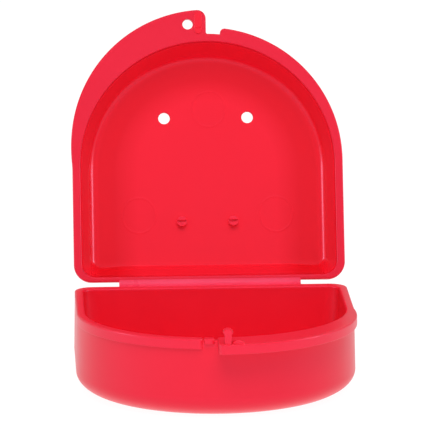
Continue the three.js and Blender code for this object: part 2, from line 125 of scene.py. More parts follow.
@dataclass(frozen=True)
class CasePlan:
    """The D-shaped plan that both halves share, in millimetres."""

    half_width: float = 39.2
    side_reach: float = 36.8
    front_reach: float = 38.5
    rim_wall: float = 2.5
    rear_edge: float = 1.0
    rear_corner: float = 5.5
    hollow_corner: float = 4.3
    flange_swell: float = 1.2
    hinge_half_length: float = 27.9

    def outline(self, grow: float, rear: float, least_corner: float = LEAST_CORNER) -> np.ndarray:
        """The closed D, moved outwards.

        Args:
            grow: distance outwards from the hollow's edge.
            rear: reach of the rear edge.
            least_corner: smallest radius of the two rear corners.

        Returns:
            Rows of x and reach, from the middle of the rear edge round by the right.
        """
        half = self.half_width + grow
        spread = (self.rear_corner - self.hollow_corner) / self.rim_wall
        corner = max(self.hollow_corner + spread * grow, least_corner)
        turns = np.linspace(0, math.pi / 2, 15)
        right = np.column_stack(
            [half - corner + corner * np.sin(turns), rear + corner - corner * np.cos(turns)]
        )
        around = np.linspace(0, math.pi, 181)
        front = np.column_stack(
            [half * np.cos(around), self.side_reach + (self.front_reach + grow) * np.sin(around)]
        )
        share = np.linspace(0, 1, 31)[:-1, None]
        rear_right = np.array([0, rear]) * (1 - share) + right[0] * share
        side_right = (right[-1] * (1 - share) + front[0] * share)[1:]
        left = right[::-1] * [-1, 1]
        side_left = (front[-1] * (1 - share) + left[0] * share)[1:]
        rear_left = (left[-1] * (1 - share) + np.array([0, rear]) * share)[1:]
        return np.vstack([rear_right, right, side_right, front, side_left, left, rear_left])

    def edge(self, turn: np.ndarray, widest: float) -> np.ndarray:
        """A flange's outer edge.

        Args:
            turn: angles round the front curve from the right-hand side.
            widest: the flange's greatest width, out from the hollow.

        Returns:
            Rows of x and reach.
        """
        swell = np.clip(np.sin(turn), 0, 1) ** self.flange_swell
        width = self.rim_wall + (widest - self.rim_wall) * swell
        across = np.cos(turn) / self.half_width
        ahead = np.sin(turn) / self.front_reach
        scale = width / np.hypot(across, ahead)
        return np.column_stack(
            [
                self.half_width * np.cos(turn) + across * scale,
                self.side_reach + self.front_reach * np.sin(turn) + ahead * scale,
            ]
        )

    def turn_at(self, x: float, widest: float) -> float:
        """The angle at which a flange's outer edge crosses x."""
        turns = np.linspace(0, math.pi, 4001)
        return float(np.interp(-x, -self.edge(turns, widest)[:, 0], turns))

    def edge_reach(self, x: float, widest: float) -> float:
        """How far a flange's outer edge reaches at x."""
        return float(self.edge(np.array([self.turn_at(x, widest)]), widest)[0, 1])

    def hollow_reach(self, x: float, grow: float = 0.0) -> float:
        """How far the hollow's edge, moved outwards, reaches at x."""
        share = x / (self.half_width + grow)
        return self.side_reach + (self.front_reach + grow) * math.sqrt(1 - share * share)

    def rim_side(self, hand: int, widest: float, stop_x: float) -> np.ndarray:
        """Outer edge of one side of a rim, from the middle of the rear to where the flange ends.

        Args:
            hand: 1 for the right-hand side, -1 for the left.
            widest: the flange's greatest width.
            stop_x: x at which the flange ends.

        Returns:
            Rows of x and reach.
        """
        grown = self.outline(self.rim_wall, self.rear_edge)
        stop_turn = self.turn_at(stop_x, widest)
        if hand < 0:
            stop_turn = math.pi - stop_turn
        straight = grown[grown[:, 1] < self.side_reach - 0.01]
        straight = straight[straight[:, 0] >= 0]
        path = np.vstack([straight, self.edge(np.linspace(0, stop_turn, 160), widest)])
        return path * [hand, 1]


PLAN = CasePlan()


def length_along(path: np.ndarray) -> np.ndarray:
    """Distance from a path's first point to each of its points."""
    return np.concatenate([[0], np.cumsum(np.linalg.norm(np.diff(path, axis=0), axis=1))])


def point_along(path: np.ndarray, distance: float) -> np.ndarray:
    """The point at a distance along a path."""
    along = length_along(path)
    return np.array([np.interp(distance, along, path[:, k]) for k in range(path.shape[1])])


def cubic(
    start: np.ndarray, near: np.ndarray, far: np.ndarray, end: np.ndarray, share: np.ndarray
) -> np.ndarray:
    """Points on a smooth curve.

    Args:
        start: where the curve starts.
        near: the handle beside the start.
        far: the handle beside the end.
        end: where the curve ends.
        share: a column of places along the curve, from 0 to 1.

    Returns:
        One row for each share.
    """
    left = 1 - share
    return start * left**3 + near * 3 * share * left**2 + far * 3 * share**2 * left + end * share**3


def join_rounded(parts: Sequence[np.ndarray], reaches: Sequence[float]) -> np.ndarray:
    """Joins open paths into a closed one with a round bend at each joint.

    Args:
        parts: paths, each starting where the last one ends.
        reaches: how far before and after each joint its bend starts; the first is for the joint
            between the last part and the first.

    Returns:
        The closed path, without a repeated point.
    """
    pieces = []
    count = len(parts)
    for at, part in enumerate(parts):
        before, after = reaches[at], reaches[(at + 1) % count]
        along = length_along(part)
        keep = (along > before + 0.02) & (along < along[-1] - after - 0.02)
        start, end = point_along(part, before), point_along(part, along[-1] - after)
        pieces.append(np.vstack([start, part[keep], end]))
    whole = []
    for at, piece in enumerate(pieces):
        following = pieces[(at + 1) % count]
        corner = parts[(at + 1) % count][0]
        share = np.linspace(0, 1, 10)[1:-1, None]
        first, last = piece[-1], following[0]
        near = first + (corner - first) * BEZIER_CIRCLE
        far = last + (corner - last) * BEZIER_CIRCLE
        bend = cubic(first, near, far, last, share)
        whole += [piece, bend] if reaches[(at + 1) % count] > 0 else [piece[:-1]]
    return np.vstack(whole)


def evenly(path: np.ndarray, spacing: float) -> np.ndarray:
    """A closed path with its long steps divided into even ones no longer than `spacing`."""
    points = []
    for here, following in zip(path, np.roll(path, -1, axis=0)):
        steps = max(1, math.ceil(float(np.linalg.norm(following - here)) / spacing))
        points.append(here + (following - here) * np.linspace(0, 1, steps + 1)[:-1, None])
    return np.vstack(points)


def counterclockwise(path: np.ndarray) -> np.ndarray:
    """The same closed path, running anticlockwise."""
    x, y = path.T
    area = np.sum(x * np.roll(y, -1) - np.roll(x, -1) * y)
    return path if area > 0 else path[::-1]


def moved_out(path: np.ndarray, distance: float) -> np.ndarray:
    """An anticlockwise closed path moved outwards, or inwards by a negative distance."""
    ahead = np.roll(path, -1, axis=0) - path
    ahead /= np.linalg.norm(ahead, axis=1)[:, None]
    behind = np.roll(ahead, 1, axis=0)
    normal = np.column_stack([ahead[:, 1], -ahead[:, 0]])
    before = np.column_stack([behind[:, 1], -behind[:, 0]])
    middle = normal + before
    middle /= np.maximum(np.linalg.norm(middle, axis=1), 0.2)[:, None]
    spread = np.clip(np.sum(middle * normal, axis=1), 0.7, 1.0)
    return path + middle * (distance / spread)[:, None]


def circle(x: float, y: float, radius: float, steps: int = 48) -> np.ndarray:
    """A circle as a closed anticlockwise path."""
    turn = np.linspace(0, 2 * math.pi, steps, endpoint=False)
    return np.column_stack([x + radius * np.cos(turn), y + radius * np.sin(turn)])


def slot_path(x: float, low: float, high: float, half_width: float) -> np.ndarray:
    """A slot with round ends that lies along the reach direction."""
    turn = np.linspace(0, math.pi, 25)
    upper = [x + half_width * np.cos(turn), high - half_width + half_width * np.sin(turn)]
    lower = [x - half_width * np.cos(turn), low + half_width - half_width * np.sin(turn)]
    return np.vstack([np.column_stack(upper), np.column_stack(lower)])


# ---------------------------------------------------------------- surfaces


def add_object(name: str, data: bpy.types.ID) -> bpy.types.Object:
    """Puts a named object in the scene."""
    thing = bpy.data.objects.new(name, data)
    bpy.context.scene.collection.objects.link(thing)
    return thing


@dataclass(frozen=True)
class Edge:
    """A closed path that bounds a plate, and how its two edges are rounded."""

    path: np.ndarray
    top_round: float
    bottom_round: float
    hole: bool = False


class Skin:
    """A closed surface made of rings of points, the strips between them and flat caps."""

    def __init__(self) -> None:
        """Starts with nothing."""
        self.points: list[np.ndarray] = []
        self.count = 0
        self.faces: list[tuple[int, ...]] = []

    def ring(self, path: np.ndarray, level: float | np.ndarray) -> np.ndarray:
        """Adds a closed ring of points and returns their numbers."""
        levels = np.broadcast_to(np.asarray(level, float), (len(path),))
        self.points.append(np.column_stack([path, levels]))
        numbers = np.arange(self.count, self.count + len(path))
        self.count += len(path)
        return numbers

    def strip(self, a: np.ndarray, b: np.ndarray) -> None:
        """Adds the four-sided faces between two rings of the same count."""
        a_next, b_next = np.roll(a, -1), np.roll(b, -1)
        self.faces += list(zip(a.tolist(), a_next.tolist(), b_next.tolist(), b.tolist()))

    def strips(self, rings: Sequence[np.ndarray]) -> None:
        """Adds the strips through a stack of rings."""
        for a, b in zip(rings, rings[1:]):
            self.strip(a, b)

    def cap(self, rings: Sequence[np.ndarray]) -> None:
        """Fills the flat area that rings enclose; a ring inside another is the edge of a hole."""
        everything = np.vstack(self.points)
        numbers = np.concatenate(list(rings))
        flat = [Vector(everything[n, :2]) for n in numbers]
        ends = np.cumsum([len(ring) for ring in rings])
        loops = [list(range(end - len(ring), end)) for ring, end in zip(rings, ends)]
        spots, _, faces, origin, _, _ = delaunay_2d_cdt(flat, [], loops, 2, 1e-7)
        if not all(origin):
            LOG.warning("a cap's outline crosses itself near %s", spots[origin.index([])])
            return
        self.faces += [tuple(int(numbers[origin[v][0]]) for v in f) for f in faces]

    def plate(self, edges: Sequence[Edge], top: float, bottom: float, margin: float = 0.2) -> None:
        """Adds a plate with rounded edges.

        Args:
            edges: the plate's outline and the outlines of its holes.
            top: level of its upper face.
            bottom: level of its lower face.
            margin: width of the flat band kept beside each rounding.
        """
        upper, lower = [], []
        for edge in edges:
            path = counterclockwise(edge.path)
            outwards = 1 if edge.hole else -1
            rings = []
            for inset, level in edge_profile(top, bottom, edge.top_round, edge.bottom_round, margin):
                rings.append(self.ring(moved_out(path, outwards * inset), level))
            self.strips(rings)
            upper.append(rings[0])
            lower.append(rings[-1])
        self.cap(upper)
        self.cap(lower)

    def piece(self, name: str, place: Placer, finish: "Finish") -> bpy.types.Object:
        """Turns the surface into a named object.

        Args:
            name: the piece's name.
            place: carries plan points to metres in the standing case.
            finish: what the piece is made of.

        Returns:
            The object, at the origin, with its faces outwards.
        """
        mesh = bpy.data.meshes.new(name)
        mesh.from_pydata(place(np.vstack(self.points)).tolist(), [], self.faces)
        made = bmesh.new()
        made.from_mesh(mesh)
        bmesh.ops.remove_doubles(made, verts=made.verts, dist=2e-7)
        bmesh.ops.dissolve_degenerate(made, edges=made.edges, dist=1e-8)
        bmesh.ops.recalc_face_normals(made, faces=made.faces)
        made.to_mesh(mesh)
        made.free()
        mesh.shade_smooth()
        mesh.set_sharp_from_angle(angle=SHARP_ANGLE)
        mesh.materials.append(finish.material())
        return add_object(name, mesh)


def edge_profile(
    top: float, bottom: float, top_round: float, bottom_round: float, margin: float, steps: int = 5
) -> list[tuple[float, float]]:
    """The section of a plate's edge.

    Args:
        top: level of the plate's upper face.
        bottom: level of its lower face.
        top_round: radius of the upper edge.
        bottom_round: radius of the lower edge.
        margin: width of the flat band beside each rounding.
        steps: divisions of each rounding.

    Returns:
        Pairs of inset and level, from the upper face to the lower.
    """
    turns = np.linspace(0, math.pi / 2, steps + 1)
    upper = [(top_round * (1 - math.sin(t)), top - top_round * (1 - math.cos(t))) for t in turns]
    lower = [
        (bottom_round * (1 - math.sin(t)), bottom + bottom_round * (1 - math.cos(t))) for t in turns
    ]
    first = [(top_round + margin, top)]
    last = [(bottom_round + margin, bottom)]
    if top - top_round - bottom - bottom_round > 4 * margin:
        walls = [(0.0, top - top_round - margin), (0.0, bottom + bottom_round + margin)]
    else:
        walls = []
    return first + upper + walls + lower[::-1] + last


# ---------------------------------------------------------------- finishes


class Value:
    """A number that changes over a surface; arithmetic on it adds the nodes that work it out."""

    def __init__(self, nodes: "NodeDesk", socket: bpy.types.NodeSocket) -> None:
        """Wraps an output socket."""
        self.nodes = nodes
        self.socket = socket

    def _maths(self, operation: str, *numbers: "Value | float") -> "Value":
        """One Math node."""
        inputs = {k: n for k, n in enumerate(numbers)}
        return self.nodes.add("ShaderNodeMath", {"operation": operation}, inputs).value()

    def __add__(self, other: "Value | float") -> "Value":
        """Sum."""
        return self._maths("ADD", self, other)

    __radd__ = __add__

    def __mul__(self, other: "Value | float") -> "Value":
        """Product."""
        return self._maths("MULTIPLY", self, other)

    def __sub__(self, other: "Value | float") -> "Value":
        """Difference."""
        return self._maths("SUBTRACT", self, other)

    def __rsub__(self, other: "Value | float") -> "Value":
        """Difference the other way round."""
        return self._maths("SUBTRACT", other, self)

    def root(self) -> "Value":
        """Square root."""
        return self._maths("SQRT", self)

    def clamped(self, low: float, high: float) -> "Value":
        """The value kept between two limits."""
        return self._maths("MAXIMUM", self._maths("MINIMUM", self, high), low)


class Added:
    """A node that has been added, with short ways to its outputs."""

    def __init__(self, desk: "NodeDesk", node: bpy.types.Node) -> None:
        """Wraps a node."""
        self.desk = desk
        self.node = node

    def value(self, name: str | int = 0) -> Value:
        """One of its outputs as a value."""
        return Value(self.desk, self.node.outputs[name])

    def out(self, name: str | int = 0) -> bpy.types.NodeSocket:
        """One of its output sockets."""
        return self.node.outputs[name]


class NodeDesk:
    """Adds nodes to one tree."""

    def __init__(self, tree: bpy.types.NodeTree) -> None:
        """Works on a tree."""
        self.tree = tree

    def add(
        self,
        kind: str,
        settings: dict[str, object] | None = None,
        inputs: dict[str | int, object] | None = None,
    ) -> Added:
        """Adds a node, sets it up and then fills its sockets.

        Args:
            kind: the node's type.
            settings: its properties, which are set first; "stops" holds a ramp's stops.
            inputs: values or links for its sockets, by name or number.

        Returns:
            The node.
        """
        node = self.tree.nodes.new(kind)
        for name, value in (settings or {}).items():
            if name == "stops":
                self._ramp(node.color_ramp, value)
            else:
                setattr(node, name, value)
        for name, value in (inputs or {}).items():
            socket = node.inputs[name]
            if isinstance(value, Value):
                self.tree.links.new(value.socket, socket)
            elif isinstance(value, bpy.types.NodeSocket):
                self.tree.links.new(value, socket)
            else:
                socket.default_value = value
        return Added(self, node)

    def noise(self, place: bpy.types.NodeSocket, scale: float, detail: float, mix: float) -> Value:
        """An even noise from 0 to 1; `mix` is the strength of its finer parts."""
        inputs = {"Vector": place, "Scale": scale, "Detail": detail, "Roughness": mix}
        return self.add("ShaderNodeTexNoise", {"noise_dimensions": "3D"}, inputs).value("Fac")

    def mix(self, share: Value, first: object, second: object) -> bpy.types.NodeSocket:
        """Two colours mixed; a share of 1 gives the second."""
        inputs = {"Factor": share, 6: first, 7: second}
        return self.add("ShaderNodeMix", {"data_type": "RGBA"}, inputs).out(2)

    def front_place(self, place: bpy.types.NodeSocket, height: float) -> tuple[Value, Value]:
        """The place across the case, and its height above a height given in millimetres."""
        split = self.add("ShaderNodeSeparateXYZ", {}, {"Vector": place})
        return split.value("X"), split.value("Z") - height * MM

    @staticmethod
    def _ramp(ramp: bpy.types.ColorRamp, stops: Sequence[tuple[float, float]]) -> None:
        """Sets a ramp's stops as pairs of place and grey."""
        for at, (place, grey) in enumerate(stops):
            stop = ramp.elements[at] if at < 2 else ramp.elements.new(place)
            stop.position = place
            stop.color = (grey, grey, grey, 1)


def cleared_desk(owner: bpy.types.Material | bpy.types.World) -> NodeDesk:
    """A desk on the emptied node tree of a material or of the surround."""
    owner.use_nodes = True
    owner.node_tree.nodes.clear()
    return NodeDesk(owner.node_tree)


class Colour(Enum):
    """The colours in the scene, in linear light."""

    RED = (0.880, 0.0075, 0.0215, 1.0)
    RED_DEEP = (0.862, 0.0066, 0.0200, 1.0)
    # painted light: a paler, pinker red for the lid's rim, standing in for light shining through its
    # thin flanges
    RIM = (0.810, 0.0100, 0.0310, 1.0)
    RIM_DEEP = (0.775, 0.0080, 0.0260, 1.0)
    # painted light: a brighter, pinker red for the tray's rim band, standing in for light shining
    # through it
    BAND = (0.900, 0.0160, 0.0420, 1.0)
    BAND_DEEP = (0.870, 0.0135, 0.0370, 1.0)
    TRAY = (0.875, 0.0120, 0.0300, 1.0)
    TRAY_DEEP = (0.845, 0.0100, 0.0265, 1.0)
    # painted shade: a darker red for the lid's shoulder beside its walls
    PAINTED_SHADE = (0.750, 0.0008, 0.0060, 1.0)
    # painted light: a pale pink for the hinge web, standing in for light shining through the thin
    # film
    THIN = (0.92, 0.055, 0.125, 1.0)
    THIN_DEEP = (0.88, 0.035, 0.085, 1.0)
    PALE = (0.12, 0.12, 0.12, 1.0)
    WHITE = (1.0, 1.0, 1.0, 1.0)
    SHEEN = (1.0, 0.62, 1.0, 1.0)


@dataclass(frozen=True)
class PaintedShadeBorder:
    """Painted shade round the lid's panel: a darker colour on the shoulder towards the walls,
    standing in for the shade that falls there.
    """

    colour: Colour
    curve_height: float = 57.2
    rise: float = 1.08
    widest: float = 40.0
    stops: tuple[tuple[float, float], ...] = ((21.5, 0.0), (28.5, 1.0), (33.5, 1.0), (36.0, 0.0))
    glossy: tuple[tuple[float, float], ...] = ((34.0, 0.0), (34.9, 1.0), (36.5, 1.0), (37.1, 0.0))
    dullness: float = 0.26

    def shares(self, desk: "NodeDesk", place: bpy.types.NodeSocket) -> tuple[Value, Value]:
        """How much painted shade there is, and how glossy the bend is.

        Args:
            desk: adds the nodes.
            place: the place on the surface.

        Returns:
            Two shares from 0 to 1.
        """
        across, above = desk.front_place(place, self.curve_height)
        above = above.clamped(0.0, 1.0) * self.rise
        reach = (across * across + above * above).root() * (1 / (self.widest * MM))
        shares = []
        for row in (self.stops, self.glossy):
            stops = [(at / self.widest, grey) for at, grey in row]
            ramp = desk.add("ShaderNodeValToRGB", {"stops": stops}, {"Fac": reach})
            shares.append(ramp.value("Color"))
        return shares[0], shares[1]


@dataclass(frozen=True)
class Mark:
    """The faint round line that an ejector pin leaves, in a place given by x and height."""

    x: float
    height: float
    radius: float = 5.2
    width: float = 0.35

    def ridge(self, desk: "NodeDesk", place: bpy.types.NodeSocket) -> Value:
        """How far the line stands up, from 0 to 1."""
        across, above = desk.front_place(place, self.height)
        across = across - self.x * MM
        off = (across * across + above * above).root() - self.radius * MM
        return (1.0 - off * off * (1 / (self.width * MM) ** 2)).clamped(0.0, 1.0)


@dataclass(frozen=True)
class Finish:
    """A moulded plastic surface: its colour, gloss and grain."""

    name: str
    colour: Colour
    deep: Colour
    roughness: float = 0.34
    roughness_swing: float = 0.08
    cloud_scale: float = 42.0
    flow_scale: float = 160.0
    grain_scale: float = 900.0
    grain_height: float = 0.005
    ior: float = 1.45
    painted_shade: PaintedShadeBorder | None = None
    marks: tuple[Mark, ...] = ()
    mark_height: float = 0.05

    def material(self) -> bpy.types.Material:
        """The finish as a material, made once."""
        found = bpy.data.materials.get(self.name)
        if found:
            return found
        material = bpy.data.materials.new(self.name)
        desk = cleared_desk(material)
        place = desk.add("ShaderNodeTexCoord").out("Object")
        clouds = desk.noise(place, self.cloud_scale, 3.0, 0.5)
        flow = desk.noise(place, self.flow_scale, 2.0, 0.6)
        grain = desk.noise(place, self.grain_scale, 2.0, 0.55)
        mottle = (clouds * 0.7 + flow * 0.3 - 0.35) * 2.2
        colour = desk.mix(mottle.clamped(0.0, 1.0), self.deep.value, self.colour.value)
        rough = self.roughness + (flow - 0.5) * self.roughness_swing
        # painted shade: the lid's shoulder is darkened towards its walls; the bend's gloss is set
        # here too
        if self.painted_shade:
            shade_share, glossy = self.painted_shade.shares(desk, place)
            colour = desk.mix(shade_share, colour, self.painted_shade.colour.value)
            rough = rough + (1.0 - glossy) * self.painted_shade.dullness
        for mark in self.marks:
            grain = grain + mark.ridge(desk, place) * (self.mark_height / self.grain_height)
        bump = desk.add(
            "ShaderNodeBump",
            {},
            {"Strength": 1.0, "Distance": self.grain_height * MM, "Height": grain},
        )
        shader = desk.add(
            "ShaderNodeBsdfPrincipled",
            {},
            {
                "Base Color": colour,
                "Roughness": rough.clamped(0.05, 1.0),
                "IOR": self.ior,
                "Specular Tint": Colour.SHEEN.value,
                "Normal": bump.out("Normal"),
            },
        )
        desk.add("ShaderNodeOutputMaterial", {}, {"Surface": shader.out()})
        return material


# lit copies of the red plastic: light shining through the thin rims is painted into their colours
LIT_RIM_PLASTIC = Finish("rim plastic with painted glow", Colour.RIM, Colour.RIM_DEEP)
LIT_BAND_PLASTIC = Finish("band plastic with painted glow", Colour.BAND, Colour.BAND_DEEP)
RED_PLASTIC = Finish("red plastic", Colour.RED, Colour.RED_DEEP)
TRAY_PLASTIC = Finish("tray plastic", Colour.TRAY, Colour.TRAY_DEEP)
LID_PLASTIC = Finish(
    name="lid plastic",
    colour=Colour.RED,
    deep=Colour.RED_DEEP,
    roughness=0.27,
    roughness_swing=0.03,
    painted_shade=PaintedShadeBorder(Colour.PAINTED_SHADE),
    marks=(Mark(-21.2, 43.2), Mark(21.2, 43.2), Mark(0.9, 74.6)),
)
# painted light: the web's paleness stands in for light shining through it
LIT_WEB_PLASTIC = Finish(
    name="web plastic with painted glow",
    colour=Colour.THIN,
    deep=Colour.THIN_DEEP,
    roughness=0.28,
    roughness_swing=0.06,
    grain_scale=700.0,
    grain_height=0.008,
)


# ---------------------------------------------------------------- repeated pieces


@dataclass(frozen=True)
class Repeat:
    """Copies of a small piece in a row across the case, made by geometry nodes."""

    first: tuple[float, float, float]
    step: tuple[float, float, float]
    count: int

    def tree(self) -> bpy.types.NodeTree:
        """The node tree, with the row's first place, step and count as inputs."""
        tree = bpy.data.node_groups.new("row of pieces", "GeometryNodeTree")
        kinds = {"First": "Vector", "Step": "Vector", "Count": "Int", "Finish": "Material"}
        for name, kind in {"Piece": "Geometry", **kinds}.items():
            tree.interface.new_socket(name, in_out="INPUT", socket_type=f"NodeSocket{kind}")
        tree.interface.new_socket("Row", in_out="OUTPUT", socket_type="NodeSocketGeometry")
        desk = NodeDesk(tree)
        given = desk.add("NodeGroupInput")
        line = desk.add(
            "GeometryNodeMeshLine",
            {"mode": "OFFSET"},
            {
                "Count": given.out("Count"),
                "Start Location": given.out("First"),
                "Offset": given.out("Step"),
            },
        )
        copies = desk.add(
            "GeometryNodeInstanceOnPoints",
            {},
            {"Points": line.out("Mesh"), "Instance": given.out("Piece")},
        )
        real = desk.add("GeometryNodeRealizeInstances", {}, {"Geometry": copies.out("Instances")})
        dressed = desk.add(
            "GeometryNodeSetMaterial",
            {},
            {"Geometry": real.out("Geometry"), "Material": given.out("Finish")},
        )
        desk.add("NodeGroupOutput", {}, {"Row": dressed.out("Geometry")})
        return tree

    def make(self, pattern: bpy.types.Object, name: str, finish: Finish) -> bpy.types.Object:
        """Repeats a piece.

        Args:
            pattern: the piece, drawn about the origin in the row's own directions.
            name: name of the finished row.
            finish: what it is made of.

        Returns:
            The row as one plain mesh object.
        """
        tree = self.tree()
        modifier = pattern.modifiers.new("row", "NODES")
        modifier.node_group = tree
        inputs = {s.name: s.identifier for s in tree.interface.items_tree if s.in_out == "INPUT"}
        modifier[inputs["First"]] = self.first
        modifier[inputs["Step"]] = self.step
        modifier[inputs["Count"]] = self.count
        modifier[inputs["Finish"]] = finish.material()
        graph = bpy.context.evaluated_depsgraph_get()
        mesh = bpy.data.meshes.new_from_object(pattern.evaluated_get(graph), depsgraph=graph)
        bpy.data.objects.remove(pattern)
        mesh.name = name
        return add_object(name, mesh)


# ---------------------------------------------------------------- tray


@dataclass
class Tray:
    """The deep half: a wall with a broad rounded foot, and the rim with its two flanges."""

    height: float = 24.5
    rim_thickness: float = 3.0
    rear_rim: float = 3.4
    flare: float = 0.3
    round_width: float = 11.0
    round_height: float = 6.5
    wall: float = 3.0
    floor: float = 1.8
    inner_corner: float = 6.5
    left_flange: float = 3.4
    right_flange: float = 10.8
    notch_left: float = -5.45
    notch_right: float = -1.1
    flange_corner: float = 1.3
    edge_round: float = 0.45
    tuck: float = 0.4  # how far the wall's top is buried in the rim
    hollow_start: float = 0.35  # rim's rounded edge to the top of the shell's hollow
    finish: Finish = TRAY_PLASTIC

    def shell(self) -> bpy.types.Object:
        """The tray's wall and floor."""
        skin = Skin()
        rims = []

        def lay(grow: float, rear: float, level: float, corner: float = LEAST_CORNER) -> None:
            """Adds the shell's next ring."""
            rims.append(skin.ring(PLAN.outline(grow, rear, corner), level))

        base = RIM_LEVEL - self.height
        under = RIM_LEVEL - self.rim_thickness
        for turn in np.linspace(0, math.pi / 2, 21):
            inset = self.round_width * (1 - math.sin(turn))
            level = base + self.round_height * (1 - math.cos(turn))
            lay(PLAN.rim_wall + self.flare - inset, PLAN.rear_edge + inset, level)
        start = base + self.round_height
        for share in (0.03, 0.3, 0.6, 0.9, 1.0):
            level = start + (under + self.tuck - start) * share
            lay(PLAN.rim_wall + self.flare * (1 - share), PLAN.rear_edge + 0.02 * share, level)
        hidden = RIM_LEVEL - self.edge_round - self.hollow_start
        lay(1.2, PLAN.rear_edge + 1.2, under + 0.5)
        lay(0.5, PLAN.rear_edge + self.rear_rim - 0.5, hidden - 0.1)
        rear = PLAN.rear_edge + self.rear_rim + SEAM
        lay(-SEAM, rear, hidden)
        lay(-SEAM, rear, hidden - 0.2)
        low = base + self.floor
        rise = self.round_height - self.floor / 2
        inner_width = self.round_width - self.wall
        for share in (0.15, 0.5, 0.85):
            level = hidden - 0.2 + (low + rise - hidden + 0.2) * share
            grow = -SEAM + (PLAN.rim_wall + self.flare - self.wall + SEAM) * share
            inset = PLAN.rear_edge + self.rear_rim + SEAM * (1 - share) + 0.5 * share
            corner = PLAN.hollow_corner + (self.inner_corner - PLAN.hollow_corner) * share
            lay(grow, inset, level, corner)
        for turn in np.linspace(math.pi / 2, 0, 17):
            inset = self.wall + inner_width * (1 - math.sin(turn))
            rear = PLAN.rear_edge + self.rear_rim - PLAN.rim_wall + inset
            level = low + rise * (1 - math.cos(turn))
            lay(PLAN.rim_wall + self.flare - inset, rear, level, self.inner_corner)
        skin.strips(rims)
        skin.cap([rims[0]])
        skin.cap([rims[-1]])
        return skin.piece("tray_shell", TRAY.place, self.finish)

    def rim_path(self) -> np.ndarray:
        """The rim's outline: a long C that is open at the latch."""
        right = PLAN.rim_side(1, self.right_flange, self.notch_right)
        left = PLAN.rim_side(-1, self.left_flange, self.notch_left)
        outer = np.vstack([left[::-1], right[1:]])
        hollow = PLAN.outline(0.0, PLAN.rear_edge + self.rear_rim)
        start = len(hollow) // 2
        ordered = np.roll(hollow, -start, axis=0)
        gap = (
            (ordered[:, 1] > PLAN.side_reach)
            & (ordered[:, 0] < self.notch_right + 0.05)
            & (ordered[:, 0] > self.notch_left - 0.05)
        )
        ordered = np.roll(ordered, -int(np.flatnonzero(gap)[-1]) - 1, axis=0)
        ordered = ordered[: len(ordered) - int(gap.sum())]
        left_inner = np.array([self.notch_left, PLAN.hollow_reach(self.notch_left)])
        right_inner = np.array([self.notch_right, PLAN.hollow_reach(self.notch_right)])
        inner = np.vstack([left_inner, ordered, right_inner])[::-1]
        right_end = np.vstack([outer[-1], inner[0]])
        left_end = np.vstack([inner[-1], outer[0]])
        joined = join_rounded(
            [outer, right_end, inner, left_end], [self.flange_corner, self.flange_corner, 0.7, 0.7]
        )
        return evenly(joined, 0.6)

    def rim(self) -> bpy.types.Object:
        """The rim with its flanges."""
        skin = Skin()
        edge = Edge(self.rim_path(), self.edge_round, 0.2)
        skin.plate([edge], RIM_LEVEL, RIM_LEVEL - self.rim_thickness, margin=0.12)
        return skin.piece("tray_rim", TRAY.place, LIT_BAND_PLASTIC)

    def build(self) -> None:
        """Builds the tray's shell and rim and puts them on their body."""
        shell = self.shell()
        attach(shell, TRAY.body)
        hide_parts("tray_body")
        LOG.info("tray shell built")
        rim = self.rim()
        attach(rim, TRAY.body)
        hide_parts("tray_flange_left", "tray_flange_right", "tray_hinge_leaf")
        LOG.info("tray rim built")


# ---------------------------------------------------------------- latch


